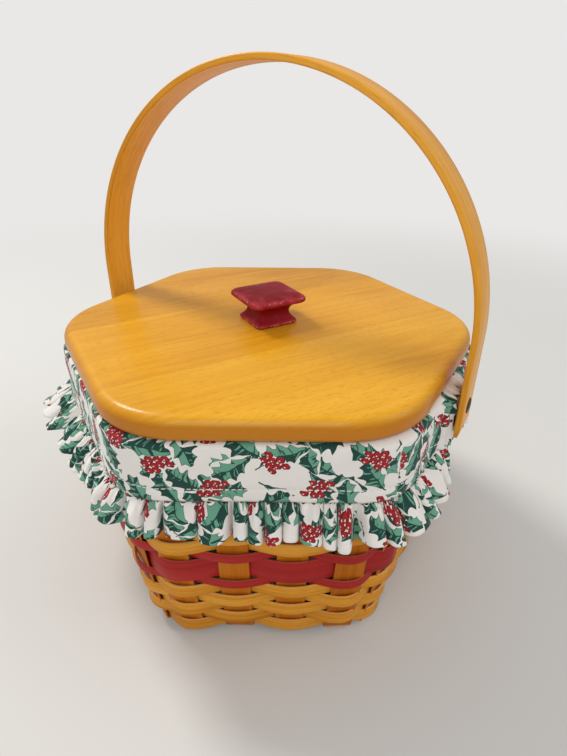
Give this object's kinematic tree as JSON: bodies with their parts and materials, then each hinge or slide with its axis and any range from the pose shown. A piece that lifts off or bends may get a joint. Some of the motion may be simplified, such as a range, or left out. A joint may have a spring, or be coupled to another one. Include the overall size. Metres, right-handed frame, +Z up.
{
  "type": "lidded basket",
  "caption": "Hexagonal woven splint basket with a lift-off wooden lid and knob, a riveted swing handle and a ruffled cloth liner.",
  "frame": {"origin": "centre of the basket's underside, at the level of the surface it stands on", "axes": "+Z up; +X along the line of the handle's two pivots, towards the right-hand pivot; +Y across the handle"},
  "size_m": [0.3103, 0.3196, 0.3465],
  "materials": {
    "tan_splint": "honey stain, satin",
    "red_splint": "cranberry stain, satin",
    "bent_wood": "honey stain, satin",
    "lid_wood": "honey stain, semi-gloss",
    "painted_knob": "cranberry paint, worn at the edges",
    "dark_metal": "dark antique",
    "plain_brass": "dull",
    "printed_cotton": "woven cotton with a holly print"
  },
  "bodies": {
    "basket": {"through_strip_lower_1": "tan_splint", "through_strip_lower_2": "tan_splint", "through_strip_lower_3": "tan_splint", "through_strip_lower_4": "tan_splint", "through_strip_middle_1": "tan_splint", "through_strip_middle_2": "tan_splint", "through_strip_middle_3": "tan_splint", "through_strip_middle_4": "tan_splint", "through_strip_upper_1": "tan_splint", "through_strip_upper_2": "tan_splint", "through_strip_upper_3": "tan_splint", "through_strip_upper_4": "tan_splint", "weaver_row_01": "tan_splint", "weaver_row_02": "tan_splint", "weaver_row_03": "tan_splint", "weaver_row_04": "tan_splint", "weaver_row_05": "tan_splint", "weaver_row_06": "red_splint", "weaver_row_07": "red_splint", "weaver_row_08": "red_splint", "weaver_row_09": "tan_splint", "weaver_row_10": "tan_splint", "weaver_row_11": "tan_splint", "weaver_row_12": "tan_splint", "weaver_row_13": "tan_splint", "weaver_row_14": "tan_splint", "rim_band_inner": "bent_wood", "rim_band_outer": "bent_wood", "handle_rivet_right": "dark_metal", "handle_rivet_left": "dark_metal", "handle_spacer_right": "plain_brass", "handle_spacer_left": "plain_brass", "liner_side": "printed_cotton", "liner_bottom": "printed_cotton", "liner_ruffle": "printed_cotton"},
    "lid": {"lid_board_back": "lid_wood", "lid_board_middle": "lid_wood", "lid_board_front": "lid_wood", "lid_cleat_1": "lid_wood", "lid_cleat_2": "lid_wood", "lid_knob": "painted_knob", "lid_knob_screw": "plain_brass"},
    "handle": {"handle_strap": "bent_wood"}
  },
  "joints": [
    {"name": "lid_lift", "type": "slide", "parent": "basket", "child": "lid", "axis": [0, 0, 1], "range_m": [0, 0.045]},
    {"name": "handle_swing", "type": "hinge", "parent": "basket", "child": "handle", "pos_m": [0, 0, 0.158], "axis": [1, 0, 0], "range_deg": [-100, 100]}
  ]
}
